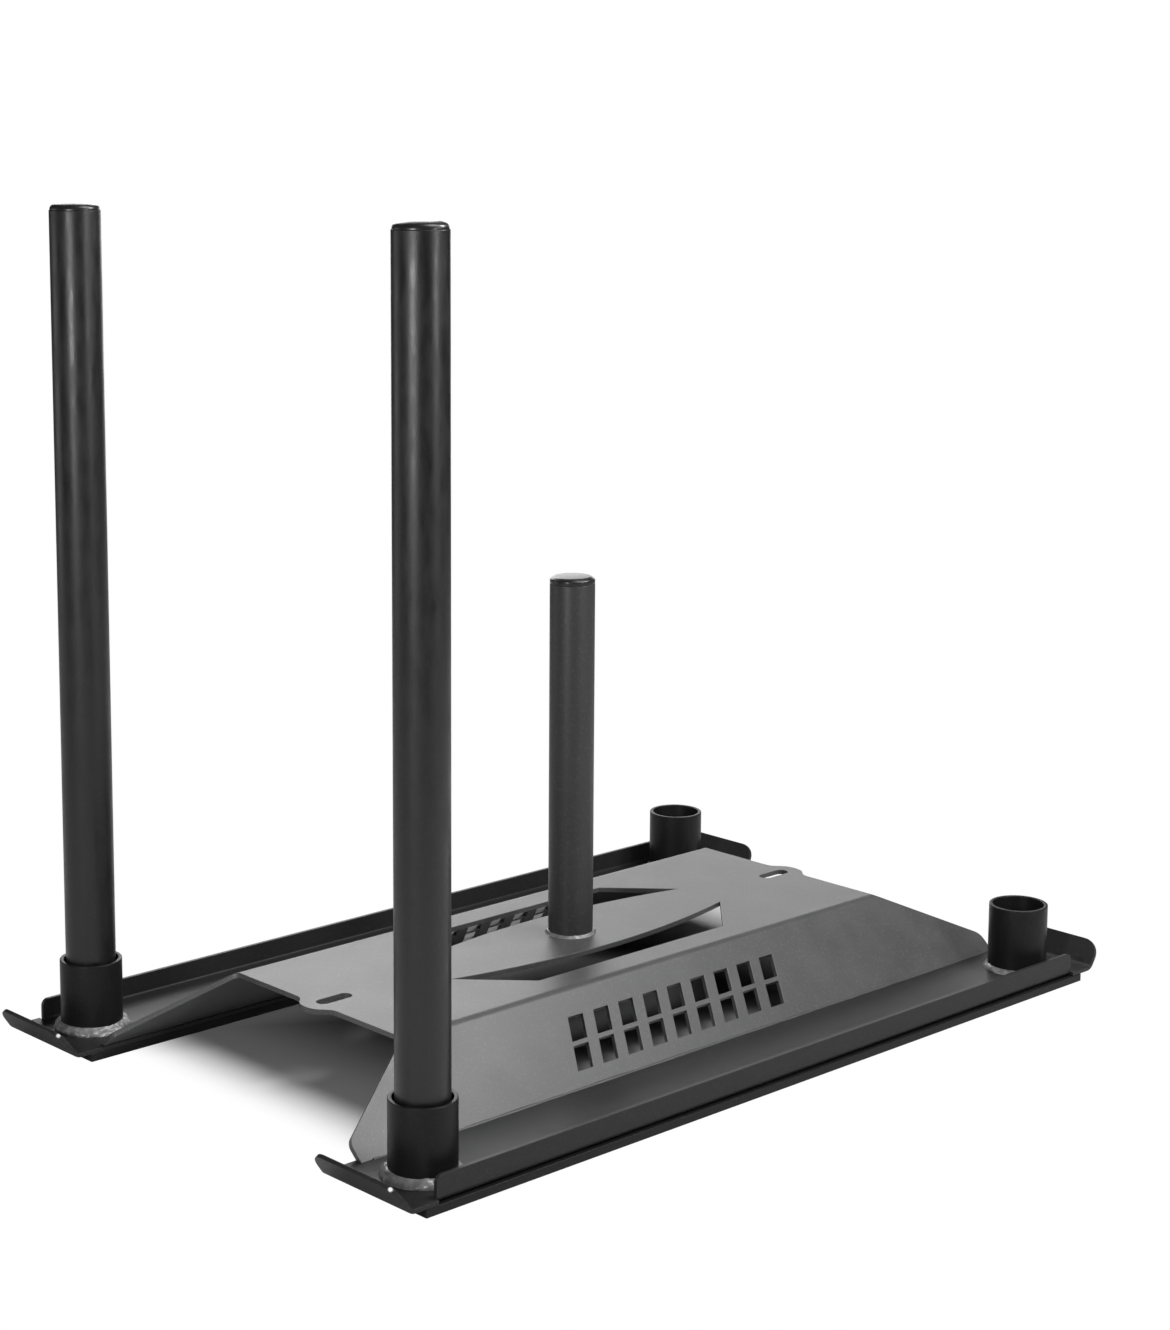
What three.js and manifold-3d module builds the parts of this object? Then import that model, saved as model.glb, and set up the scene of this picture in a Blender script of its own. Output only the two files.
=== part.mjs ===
// Push sled: one bent deck sheet welded on two runner trays, each on a skid plate.
// Four sockets stand at the corners; two push poles lift out of the rear pair.
// A short post in the middle of the deck holds weight plates.
// Millimetres. +X is the pushing direction, +Y the left side, +Z up, and the floor is z 0.

import * as THREE from "three";
import { mergeVertices } from "three/addons/utils/BufferGeometryUtils.js";
import Module from "manifold-3d";

const wasm = await Module();
wasm.setup();

// Runners: skid plates and the trays on them
const runnerLength = 900;
const sledWidth = 600;
const runnerWidth = 112;
const skidThickness = 8;
const traySheet = 4;
const trayBendRadius = 2;
const lipHeight = 24;
const lipSetIn = 3;
const lipEndSetIn = 14;
const lipCornerRadius = 7;
const noseOverhang = 12;
const noseLength = 25.5;
const noseBendRadius = 6;
const noseCornerRadius = 14;
const noseAngle = THREE.MathUtils.degToRad(55);

// Deck: a flat top and two slopes, bent from one sheet
const deckSheet = 5;
const deckBendRadius = 8;
const deckHeight = 78;
const deckLength = 652;
const deckBendSpan = 246;
const deckFootSetIn = 9;
const flareReach = 108;
const flareDrop = 22;
const flareCornerRadius = 12;

// Tow tabs at both ends of the deck, each with a slot
const tabReach = 13.5;
const tabSpan = 62;
const tabShoulderShare = 0.5;
const tabCrownShare = 0.62;
const towSlotLength = 39;
const towSlotWidth = 14;
const towSlotRim = 15;

// Two curved openings beside the plate post
const gripTipSpan = 374;
const gripOuterSpan = 256;
const gripTipOffset = 31;
const gripBellyOffset = 54.5;
const gripOuterOffset = 90;

// Rows of slanted slots in each slope
const stripeRows = 2;
const stripesPerRow = 9;
const stripeWidth = 19;
const stripePitch = 33;
const stripeLeanShare = 0.458;
const stripeRowGap = 5;
const stripeTop = 29;
const stripeFootRim = 17.15;

// Sockets, push poles and their caps
const socketOuter = 60.3;
const socketWall = 4;
const socketHeight = 68;
const socketRimChamfer = 0.8;
const socketEndSetIn = 41;
const socketSideSetIn = 52;
const poleOuter = 48.3;
const poleWall = 3;
const poleHeight = 800;
const tubeRimChamfer = 0.6;
const capFlange = 4.8;
const capTaper = 1.1;
const capDome = 2.7;
const capDomeShare = 0.62;
const capPlug = 22;
const capPlugWall = 2.5;
const capClearance = 0.3;
const footFlange = 3;
const footTaper = 0.8;

// Plate post
const postOuter = 45;
const postWall = 3;
const postHeight = 364;
const postCapSide = 4.4;
const postCapBevel = 2.6;
const postCapTopInset = 4;

// Weld beads
const socketWeldLeg = 6.5;
const postWeldLeg = 3;
const footWeldLeg = 2.5;
const weldBulgeShare = 0.62;
const weldGap = 0.3;

// Fineness of curves, and how far a cutter runs past what it cuts
const roundSteps = 44;
const bendSteps = 5;
const curveSteps = 12;
const cutOverrun = 20;
const mergeTolerance = 1e-4;

// Places that several pieces share
const floorTop = skidThickness + traySheet;
const runnerEnd = runnerLength / 2;
const runnerOuter = sledWidth / 2;
const runnerInner = runnerOuter - runnerWidth;
const deckEnd = deckLength / 2;
const bendLine = deckBendSpan / 2;
const footLine = runnerInner + deckFootSetIn;
const slopeDrop = deckHeight - floorTop;
const slopeRun = footLine - bendLine;
const slopeLength = Math.hypot(slopeRun, slopeDrop);
const slopeAngle = Math.atan2(slopeDrop, slopeRun);
const socketX = runnerEnd - socketEndSetIn;
const socketY = runnerOuter - socketSideSetIn;
const socketRadius = socketOuter / 2;
const poleRadius = poleOuter / 2;
const postRadius = postOuter / 2;

// Axis frames: the first two columns take a shape's x and y, the third the extrusion
const alongX = new THREE.Matrix4().makeBasis(
  new THREE.Vector3(0, 1, 0),
  new THREE.Vector3(0, 0, 1),
  new THREE.Vector3(1, 0, 0),
);
const alongMinusY = new THREE.Matrix4().makeBasis(
  new THREE.Vector3(1, 0, 0),
  new THREE.Vector3(0, 0, 1),
  new THREE.Vector3(0, -1, 0),
);

const steel = (name) =>
  new THREE.MeshStandardMaterial({ name, color: 0x26272a, roughness: 0.5, metalness: 0.35 });
const deckSteel = (name) =>
  new THREE.MeshStandardMaterial({ name, color: 0x3a3b3e, roughness: 0.55, metalness: 0.35 });
const weldSteel = (name) =>
  new THREE.MeshStandardMaterial({ name, color: 0x4a4a4c, roughness: 0.65, metalness: 0.4 });
const plastic = (name) =>
  new THREE.MeshStandardMaterial({ name, color: 0x141415, roughness: 0.4, metalness: 0 });

// A closed three.js geometry as a solid for joining and cutting
function solidOf(geometry) {
  const loose = geometry.index ? geometry.toNonIndexed() : geometry.clone();
  loose.deleteAttribute("normal");
  loose.deleteAttribute("uv");
  const merged = mergeVertices(loose, mergeTolerance);
  return new wasm.Manifold(
    new wasm.Mesh({
      numProp: 3,
      vertProperties: merged.attributes.position.array,
      triVerts: new Uint32Array(merged.index.array),
    }),
  );
}

// A solid back as a geometry
function geometryOf(solid) {
  const mesh = solid.getMesh();
  const geometry = new THREE.BufferGeometry()
    .setAttribute("position", new THREE.BufferAttribute(mesh.vertProperties, 3))
    .setIndex(new THREE.BufferAttribute(mesh.triVerts, 1));
  geometry.computeVertexNormals();
  return geometry;
}

// A shape pushed straight from one level to another, then turned into a frame
function prism(shape, from, to, frame = new THREE.Matrix4()) {
  return new THREE.ExtrudeGeometry(shape, {
    depth: to - from,
    bevelEnabled: false,
    curveSegments: curveSteps,
  })
    .translate(0, 0, from)
    .applyMatrix4(frame);
}

// A ring or plug: a profile of [radius, height] pairs revolved about +Z
function revolve(profile) {
  const points = profile.map(([radius, height]) => new THREE.Vector2(radius, height));
  return new THREE.LatheGeometry(points, roundSteps).rotateX(Math.PI / 2);
}

function named(name, geometry, material) {
  const mesh = new THREE.Mesh(geometry, material(name));
  mesh.name = name;
  return mesh;
}

// A rectangle with corner radii, one for each corner pair at low and high y
function roundedRectangle(x0, x1, y0, y1, lowRadius, highRadius) {
  const shape = new THREE.Shape();
  shape.moveTo(x0 + lowRadius, y0);
  shape.lineTo(x1 - lowRadius, y0);
  if (lowRadius > 0) shape.absarc(x1 - lowRadius, y0 + lowRadius, lowRadius, -Math.PI / 2, 0);
  shape.lineTo(x1, y1 - highRadius);
  if (highRadius > 0) shape.absarc(x1 - highRadius, y1 - highRadius, highRadius, 0, Math.PI / 2);
  shape.lineTo(x0 + highRadius, y1);
  if (highRadius > 0)
    shape.absarc(x0 + highRadius, y1 - highRadius, highRadius, Math.PI / 2, Math.PI);
  shape.lineTo(x0, y0 + lowRadius);
  if (lowRadius > 0)
    shape.absarc(x0 + lowRadius, y0 + lowRadius, lowRadius, Math.PI, 1.5 * Math.PI);
  return shape;
}

// Points along an arc, ends included
function arcPoints(centreX, centreY, radius, from, to, steps) {
  return Array.from({ length: steps + 1 }, (_, i) => {
    const angle = from + ((to - from) * i) / steps;
    return new THREE.Vector2(
      centreX + radius * Math.cos(angle),
      centreY + radius * Math.sin(angle),
    );
  });
}

// Deck section across the sled: both bends share a centre for their inner and outer arcs
function deckSection() {
  const outerRadius = deckBendRadius + deckSheet;
  const centreY = bendLine - outerRadius * Math.tan(slopeAngle / 2);
  const centreZ = deckHeight - outerRadius;
  const upright = Math.PI / 2;
  const footInner = footLine - deckSheet / Math.sin(slopeAngle);
  const right = (radius) =>
    arcPoints(centreY, centreZ, radius, upright - slopeAngle, upright, bendSteps);
  const left = (radius) =>
    arcPoints(-centreY, centreZ, radius, upright, upright + slopeAngle, bendSteps);
  return new THREE.Shape([
    new THREE.Vector2(footLine, floorTop),
    ...right(outerRadius),
    ...left(outerRadius),
    new THREE.Vector2(-footLine, floorTop),
    new THREE.Vector2(-footInner, floorTop),
    ...left(deckBendRadius).reverse(),
    ...right(deckBendRadius).reverse(),
    new THREE.Vector2(footInner, floorTop),
  ]);
}

// What is cut from a flat end in plan: all that lies past the end line and the tow tab
function endCutter() {
  const far = deckEnd + flareReach + cutOverrun;
  const half = tabSpan / 2;
  const crown = deckEnd + tabReach;
  const shape = new THREE.Shape();
  shape.moveTo(deckEnd, -bendLine);
  shape.lineTo(far, -bendLine);
  shape.lineTo(far, bendLine);
  shape.lineTo(deckEnd, bendLine);
  shape.lineTo(deckEnd, half);
  shape.bezierCurveTo(
    deckEnd,
    half * tabShoulderShare,
    crown,
    half * tabCrownShare,
    crown,
    0,
  );
  shape.bezierCurveTo(
    crown,
    -half * tabCrownShare,
    deckEnd,
    -half * tabShoulderShare,
    deckEnd,
    -half,
  );
  return solidOf(prism(shape, 0, deckHeight + cutOverrun));
}

// The frame of the left slope: x along the sled, y down the slope, z into the sheet
function slopeFrame() {
  const down = new THREE.Vector3(0, Math.cos(slopeAngle), -Math.sin(slopeAngle));
  const along = new THREE.Vector3(1, 0, 0);
  return new THREE.Matrix4()
    .makeBasis(along, down, new THREE.Vector3().crossVectors(along, down))
    .setPosition(0, bendLine, deckHeight);
}

// What is cut from a slope's end: its edge runs out to the foot and drops over a round corner
function flareCutter() {
  const far = deckEnd + flareReach + cutOverrun;
  const reach = deckEnd + flareReach;
  const kink = slopeLength - flareDrop;
  const edgeAngle = Math.atan2(kink, flareReach);
  const tangent = flareCornerRadius * Math.tan((Math.PI / 2 - edgeAngle) / 2);
  const above = deckBendRadius + deckSheet;
  const shape = new THREE.Shape();
  shape.moveTo(far, -above);
  shape.lineTo(far, slopeLength + cutOverrun);
  shape.lineTo(reach, slopeLength + cutOverrun);
  shape.lineTo(reach, kink + tangent);
  shape.absarc(
    reach - flareCornerRadius,
    kink + tangent,
    flareCornerRadius,
    0,
    edgeAngle - Math.PI / 2,
    true,
  );
  shape.lineTo(deckEnd, 0);
  shape.lineTo(deckEnd, -above);
  return solidOf(prism(shape, -cutOverrun, deckSheet + cutOverrun, slopeFrame()));
}

// A slot with round ends in a tow tab
function towSlotCutter() {
  const radius = towSlotWidth / 2;
  const outer = deckEnd + tabReach - towSlotRim - radius;
  const inner = outer - towSlotLength + towSlotWidth;
  const shape = new THREE.Shape();
  shape.absarc(outer, 0, radius, -Math.PI / 2, Math.PI / 2);
  shape.absarc(inner, 0, radius, Math.PI / 2, 1.5 * Math.PI);
  return solidOf(prism(shape, 0, deckHeight + cutOverrun));
}

// An opening beside the post: straight outside, slanted ends and an inner edge that bellies out
function gripCutter() {
  const tip = gripTipSpan / 2;
  const outer = gripOuterSpan / 2;
  const shape = new THREE.Shape();
  shape.moveTo(-tip, gripTipOffset);
  shape.quadraticCurveTo(0, 2 * gripBellyOffset - gripTipOffset, tip, gripTipOffset);
  shape.lineTo(outer, gripOuterOffset);
  shape.lineTo(-outer, gripOuterOffset);
  return solidOf(prism(shape, 0, deckHeight + cutOverrun));
}

// One slanted slot of the rows in a slope: seen from outside, its top leans to the right
function stripeCutter(row, column) {
  const room = slopeLength - stripeTop - stripeFootRim;
  const height = (room - (stripeRows - 1) * stripeRowGap) / stripeRows;
  const lean = height * stripeLeanShare;
  const rowPitch = height + stripeRowGap;
  const top = stripeTop + row * rowPitch;
  const place = (column - (stripesPerRow - 1) / 2) * stripePitch;
  const start = place - stripeWidth / 2 + row * rowPitch * stripeLeanShare;
  const shape = new THREE.Shape();
  shape.moveTo(start, top);
  shape.lineTo(start + stripeWidth, top);
  shape.lineTo(start + stripeWidth + lean, top + height);
  shape.lineTo(start + lean, top + height);
  return solidOf(prism(shape, -cutOverrun, deckSheet + cutOverrun, slopeFrame()));
}

// Copies of a cutter turned half round and mirrored, so that all four quarters are cut alike
const halfTurn = (solid) => solid.rotate([0, 0, 180]);
const otherEnd = (solid) => solid.mirror([1, 0, 0]);

function deckPlate() {
  const length = deckLength + 2 * flareReach;
  let deck = solidOf(prism(deckSection(), -length / 2, length / 2, alongX));
  const flare = flareCutter();
  const pairs = [endCutter(), flare, otherEnd(flare), towSlotCutter(), gripCutter()];
  for (let row = 0; row < stripeRows; row += 1)
    for (let column = 0; column < stripesPerRow; column += 1)
      pairs.push(stripeCutter(row, column));
  for (const cutter of pairs) deck = deck.subtract(cutter).subtract(halfTurn(cutter));
  return geometryOf(deck);
}

// Tray section along the sled: the floor runs a little past the skid plate and bends up
function traySection() {
  const bendStart = runnerEnd + noseOverhang;
  const centreZ = floorTop + noseBendRadius;
  const down = -Math.PI / 2;
  const end = (side, radius) => {
    const arc = arcPoints(side * bendStart, centreZ, radius, down, down + side * noseAngle, bendSteps);
    const tip = arc[arc.length - 1].clone();
    tip.x += side * noseLength * Math.cos(noseAngle);
    tip.y += noseLength * Math.sin(noseAngle);
    return [...arc, tip];
  };
  return new THREE.Shape([
    ...end(-1, noseBendRadius + traySheet).reverse(),
    ...end(1, noseBendRadius + traySheet),
    ...end(1, noseBendRadius).reverse(),
    ...end(-1, noseBendRadius),
  ]);
}

// The lip's section across the sled: the floor's outer strip bent upright
function lipSection(inner) {
  const outer = runnerOuter - lipSetIn;
  const centreY = outer - traySheet - trayBendRadius;
  const centreZ = floorTop + trayBendRadius;
  const top = skidThickness + lipHeight;
  const down = -Math.PI / 2;
  return new THREE.Shape([
    new THREE.Vector2(inner, skidThickness),
    ...arcPoints(centreY, centreZ, trayBendRadius + traySheet, down, 0, bendSteps),
    new THREE.Vector2(outer, top),
    new THREE.Vector2(outer - traySheet, top),
    ...arcPoints(centreY, centreZ, trayBendRadius, down, 0, bendSteps).reverse(),
    new THREE.Vector2(inner, floorTop),
  ]);
}

function runnerTray() {
  const lipEnd = runnerEnd - lipEndSetIn;
  const bendStart = runnerOuter - lipSetIn - traySheet - 2 * trayBendRadius;
  const noseReach =
    (noseBendRadius + traySheet) * Math.sin(noseAngle) + noseLength * Math.cos(noseAngle);
  const noseTip = runnerEnd + noseOverhang + noseReach;
  const cutTop = deckHeight + cutOverrun;
  const body = solidOf(prism(traySection(), -runnerOuter, -runnerInner, alongMinusY));
  const outline = roundedRectangle(
    -noseTip,
    noseTip,
    runnerInner,
    runnerOuter,
    noseCornerRadius,
    noseCornerRadius,
  );
  const strip = roundedRectangle(-lipEnd, lipEnd, bendStart, runnerOuter + cutOverrun, 0, 0);
  const lip = solidOf(prism(lipSection(bendStart), -lipEnd, lipEnd, alongX));
  const lipOutline = roundedRectangle(
    -lipEnd,
    lipEnd,
    0,
    skidThickness + lipHeight,
    0,
    lipCornerRadius,
  );
  const lipBlock = solidOf(prism(lipOutline, -runnerOuter, 0, alongMinusY));
  return geometryOf(
    body
      .intersect(solidOf(prism(outline, 0, cutTop)))
      .subtract(solidOf(prism(strip, 0, cutTop)))
      .add(lip.intersect(lipBlock)),
  );
}

function skidPlate() {
  const shape = roundedRectangle(-runnerEnd, runnerEnd, runnerInner, runnerOuter, 0, 0);
  return prism(shape, 0, skidThickness);
}

// A round tube standing on z 0, with chamfered rims
function tube(outerRadius, wall, height, chamfer) {
  const inner = outerRadius - wall;
  return revolve([
    [inner, chamfer],
    [inner + chamfer, 0],
    [outerRadius - chamfer, 0],
    [outerRadius, chamfer],
    [outerRadius, height - chamfer],
    [outerRadius - chamfer, height],
    [inner + chamfer, height],
    [inner, height - chamfer],
    [inner, chamfer],
  ]);
}

// A fillet weld round a post: two legs and a bulged face
function ringWeld(radius, leg) {
  const inner = radius + weldGap;
  const bulge = leg * weldBulgeShare;
  return revolve([
    [inner, 0],
    [inner + leg, 0],
    [inner + bulge, bulge],
    [inner, leg],
    [inner, 0],
  ]);
}

// The seam along a slope's foot, on the outside
function footWeld() {
  const length = deckLength + 2 * flareReach - 2 * flareCornerRadius;
  const start = footLine + weldGap;
  const up = footWeldLeg * Math.sin(slopeAngle);
  const back = footWeldLeg * Math.cos(slopeAngle);
  const shape = new THREE.Shape([
    new THREE.Vector2(start, floorTop),
    new THREE.Vector2(start + footWeldLeg, floorTop),
    new THREE.Vector2(start + footWeldLeg * weldBulgeShare, floorTop + up / 2),
    new THREE.Vector2(start - back, floorTop + up),
  ]);
  return prism(shape, -length / 2, length / 2, alongX);
}

// The plastic plug in a pole's top: a short flange with a low dome over a hollow insert
function poleTopCap() {
  const flange = poleRadius - tubeRimChamfer;
  const shoulder = flange - capTaper;
  const insert = poleRadius - poleWall - capClearance;
  return revolve([
    [0, -capPlugWall],
    [insert - capPlugWall, -capPlugWall],
    [insert - capPlugWall, -capPlug],
    [insert, -capPlug],
    [insert, 0],
    [flange, 0],
    [shoulder, capFlange],
    [shoulder - capDome, capFlange + capDome * capDomeShare],
    [shoulder - 2 * capDome, capFlange + capDome],
    [0, capFlange + capDome],
  ]);
}

// The plug that a pole stands on
function poleFootCap() {
  const flange = poleRadius - tubeRimChamfer;
  const insert = poleRadius - poleWall - capClearance;
  return revolve([
    [0, 0],
    [flange - footTaper, 0],
    [flange, footTaper],
    [flange, footFlange],
    [insert, footFlange],
    [insert, footFlange + capPlug],
    [insert - capPlugWall, footFlange + capPlug],
    [insert - capPlugWall, footFlange + capPlugWall],
    [0, footFlange + capPlugWall],
  ]);
}

// The plate post's plug: a straight side and a bevel to a flat top
function postCap() {
  const insert = postRadius - postWall - capClearance;
  return revolve([
    [0, -capPlugWall],
    [insert - capPlugWall, -capPlugWall],
    [insert - capPlugWall, -capPlug],
    [insert, -capPlug],
    [insert, 0],
    [postRadius, 0],
    [postRadius, postCapSide],
    [postRadius - postCapTopInset, postCapSide + postCapBevel],
    [0, postCapSide + postCapBevel],
  ]);
}

// One runner with its skid, tray and foot seam; the other is the same turned half round
function runner(side, turn) {
  const group = new THREE.Group();
  group.add(
    named(`skid_plate_${side}`, skidPlate(), steel),
    named(`runner_tray_${side}`, runnerTray(), steel),
    named(`deck_foot_weld_${side}`, footWeld(), weldSteel),
  );
  group.rotation.z = turn;
  return group;
}

// A socket and its weld on the tray floor
function socket(place, x, y) {
  const group = new THREE.Group();
  const shell = tube(socketRadius, socketWall, socketHeight, socketRimChamfer);
  group.add(
    named(`socket_${place}`, shell, steel),
    named(`socket_weld_${place}`, ringWeld(socketRadius, socketWeldLeg), weldSteel),
  );
  group.position.set(x, y, floorTop);
  return group;
}

// A push pole: tube, foot plug and top cap, standing on the tray floor inside its socket
function pushPole(side, x, y) {
  const group = new THREE.Group();
  const tubeLength = poleHeight - footFlange - capFlange - capDome;
  const body = named(
    `push_pole_${side}`,
    tube(poleRadius, poleWall, tubeLength, tubeRimChamfer),
    steel,
  );
  body.position.z = footFlange;
  const top = named(`pole_cap_${side}`, poleTopCap(), plastic);
  top.position.z = footFlange + tubeLength;
  group.add(body, top, named(`pole_foot_plug_${side}`, poleFootCap(), plastic));
  group.position.set(x, y, floorTop);
  return group;
}

// The plate post on the deck, with its weld and cap
function platePost() {
  const group = new THREE.Group();
  const tubeLength = postHeight - postCapSide - postCapBevel;
  const cap = named("plate_post_cap", postCap(), plastic);
  cap.position.z = tubeLength;
  group.add(
    named("plate_post", tube(postRadius, postWall, tubeLength, tubeRimChamfer), steel),
    named("plate_post_weld", ringWeld(postRadius, postWeldLeg), weldSteel),
    cap,
  );
  group.position.z = deckHeight;
  return group;
}

const sled = new THREE.Group();
sled.name = "push_sled";
sled.add(named("deck_plate", deckPlate(), deckSteel));
sled.add(runner("left", 0), runner("right", Math.PI));

const ends = { rear: -socketX, front: socketX };
const sides = { left: socketY, right: -socketY };
for (const [end, x] of Object.entries(ends))
  for (const [side, y] of Object.entries(sides)) sled.add(socket(`${end}_${side}`, x, y));
for (const [side, y] of Object.entries(sides)) sled.add(pushPole(side, ends.rear, y));
sled.add(platePost());

export default sled;
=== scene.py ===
# %% [markdown]
# # A push sled, dressed for the camera
#
# A push sled is steel sheet and tube: a bent deck stands on two runner trays, each tray
# lies on a flat skid bar, four sockets stand at the corners, two long poles drop into the
# rear pair and a short post in the middle carries weight plates. Everything is coated in
# satin black powder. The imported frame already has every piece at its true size, with flat
# facets. Here each piece is modelled again by hand, with rounded edges, rippled weld beads
# and a real surface, and it stands in for its plain twin.

# %% Load the frame and note its size
import math

import bmesh
import bpy
from mathutils import Matrix, Vector, noise


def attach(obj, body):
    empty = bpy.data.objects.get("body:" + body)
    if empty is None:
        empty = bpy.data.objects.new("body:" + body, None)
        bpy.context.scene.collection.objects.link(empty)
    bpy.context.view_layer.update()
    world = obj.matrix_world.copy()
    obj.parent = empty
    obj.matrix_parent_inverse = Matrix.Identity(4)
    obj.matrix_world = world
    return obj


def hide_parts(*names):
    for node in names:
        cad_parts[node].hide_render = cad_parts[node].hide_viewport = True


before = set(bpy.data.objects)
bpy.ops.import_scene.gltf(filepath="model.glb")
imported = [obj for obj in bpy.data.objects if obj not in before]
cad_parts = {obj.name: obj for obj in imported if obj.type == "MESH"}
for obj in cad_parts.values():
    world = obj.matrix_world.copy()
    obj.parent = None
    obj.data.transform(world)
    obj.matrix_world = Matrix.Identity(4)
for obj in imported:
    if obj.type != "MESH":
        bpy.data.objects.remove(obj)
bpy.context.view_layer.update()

MM = 0.001
TINY = 0.05 * MM

# %% [markdown]
# ## The camera
#
# A photograph can be matched by eye, turning the camera until the edges fall in place, or
# by measuring: a few corners of known size fix the camera's place, its turn and its focal
# length all at once. The second way was used, and these are its results. A small sensor
# shift, no larger than the framing needs, sets the sled where it stands in the picture.

# %% Camera
CAMERA_PLACE = Vector((-1.80938, -1.88193, 0.90486))
CAMERA_YAW, CAMERA_PITCH, CAMERA_ROLL = 0.830592, 0.14932, 0.002147
FOCAL_PIXELS, PHOTO_HEIGHT, SENSOR = 2681.7, 1330, 36.0
SENSOR_SHIFT = (0.06, -0.12)

forward = Vector((
    math.cos(CAMERA_YAW) * math.cos(CAMERA_PITCH),
    math.sin(CAMERA_YAW) * math.cos(CAMERA_PITCH),
    -math.sin(CAMERA_PITCH),
))
level = Vector((math.sin(CAMERA_YAW), -math.cos(CAMERA_YAW), 0))
upright = level.cross(forward)
right = math.cos(CAMERA_ROLL) * level + math.sin(CAMERA_ROLL) * upright
above = right.cross(forward)

bpy.ops.object.camera_add(location=CAMERA_PLACE)
camera = bpy.context.object
camera.name = "studio_camera"
turn = Matrix((right, above, -forward)).transposed()
camera.rotation_euler = turn.to_euler()
camera.data.sensor_width = SENSOR
camera.data.lens = FOCAL_PIXELS / PHOTO_HEIGHT * SENSOR
camera.data.shift_x, camera.data.shift_y = SENSOR_SHIFT
bpy.context.scene.camera = camera
print("lens", round(camera.data.lens, 1), "mm")

# %% [markdown]
# ## Tools for the bench
#
# An operator works on whatever is selected, so each piece starts with nothing selected.
# Inside a piece, vertices, edges and faces are then chosen by where their middle is. Two
# more helpers finish a piece: one runs and applies a modifier, the other rounds the sharp
# edges and sets the shading, because a laser-cut sheet has a small soft edge that catches
# the light, and that fine bright line is what makes steel look like steel.

# %% Start, choose and name
def put_down():
    """Leaves edit mode with nothing selected."""
    if bpy.context.object and bpy.context.object.mode != "OBJECT":
        bpy.ops.object.mode_set(mode="OBJECT")
    bpy.ops.object.select_all(action="DESELECT")


def take(piece):
    """Makes a piece the one in hand."""
    put_down()
    piece.select_set(True)
    bpy.context.view_layer.objects.active = piece
    return piece


def in_hand(name):
    """Names the fresh primitive and puts its place into its mesh."""
    piece = bpy.context.object
    piece.name = piece.data.name = name
    bpy.ops.object.transform_apply(location=True, rotation=True, scale=True)
    bpy.ops.object.mode_set(mode="EDIT")
    bpy.ops.mesh.select_mode(type="VERT")
    return piece


def middle(item):
    """The middle of a vertex, a face or an edge."""
    if hasattr(item, "co"):
        return item.co
    if hasattr(item, "calc_center_median"):
        return item.calc_center_median()
    return (item.verts[0].co + item.verts[1].co) / 2


def choose(kind, test):
    """Selects the vertices, edges or faces whose middle passes a test."""
    bpy.ops.mesh.select_mode(type=kind)
    bpy.ops.mesh.select_all(action="DESELECT")
    mesh = bmesh.from_edit_mesh(bpy.context.object.data)
    chosen = [
        item
        for item in {"VERT": mesh.verts, "EDGE": mesh.edges, "FACE": mesh.faces}[kind]
        if test(middle(item))
    ]
    for item in chosen:
        item.select_set(True)
    mesh.select_flush_mode()
    bmesh.update_edit_mesh(bpy.context.object.data)
    return len(chosen)


def near(a, b):
    return abs(a - b) < TINY


# %% Apply a modifier, round the edges, copy a piece
SHARP_FROM, SMOOTH_UP_TO = math.radians(35), math.radians(50)
NEARLY_FLAT = math.radians(0.5)


def applied(piece, kind, **settings):
    """Gives a piece a modifier with these settings and applies it at once."""
    take(piece)
    bpy.ops.object.modifier_add(type=kind)
    modifier = piece.modifiers[-1]
    for setting, value in settings.items():
        setattr(modifier, setting, value)
    bpy.ops.object.modifier_apply(modifier=modifier.name)
    return piece


def softened(piece, width, segments=2):
    """Rounds every sharp edge and shades the result smoothly."""
    applied(
        piece, "BEVEL", width=width, segments=segments, limit_method="ANGLE",
        angle_limit=SHARP_FROM, use_clamp_overlap=False,
    )
    take(piece)
    bpy.ops.object.shade_smooth_by_angle(angle=SMOOTH_UP_TO)
    return applied(piece, "WEIGHTED_NORMAL", keep_sharp=True)


def copied(piece, name, move=(0, 0, 0), half_turn=False):
    """A copy with a mesh of its own, moved, or turned half round the sled's middle."""
    take(piece)
    bpy.ops.object.duplicate()
    twin = bpy.context.object
    twin.name = twin.data.name = name
    bpy.ops.object.mode_set(mode="EDIT")
    bpy.ops.mesh.select_all(action="SELECT")
    bpy.ops.transform.translate(value=move)
    if half_turn:
        bpy.ops.transform.rotate(value=math.pi, orient_axis="Z", center_override=(0, 0, 0))
    bpy.ops.object.mode_set(mode="OBJECT")
    return twin


# %% [markdown]
# ## The deck sheet
#
# The real deck is one 5 mm sheet, laser-cut flat and then folded along two lines. It could
# be cut from a solid block, but then the thickness would have to be kept by hand all round
# the folds. It is easier to model only the outer skin: a plane for the flat, its long edges
# extruded down the slopes and stretched, because each slope is longer at its foot than at
# the fold. Solidify then gives the sheet its thickness everywhere.

# %% Deck: the skin
SHEET = 5 * MM
DECK_TOP, TRAY_TOP = 78 * MM, 12 * MM
FLAT_HALF, FOLD, FOOT = 326 * MM, 123 * MM, 197 * MM
FLARE, KINK = 108 * MM, 22 * MM
SLOPE = math.atan2(DECK_TOP - TRAY_TOP, FOOT - FOLD)
SLOPE_LENGTH = math.hypot(DECK_TOP - TRAY_TOP, FOOT - FOLD)
SPARE = 9 * MM

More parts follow.
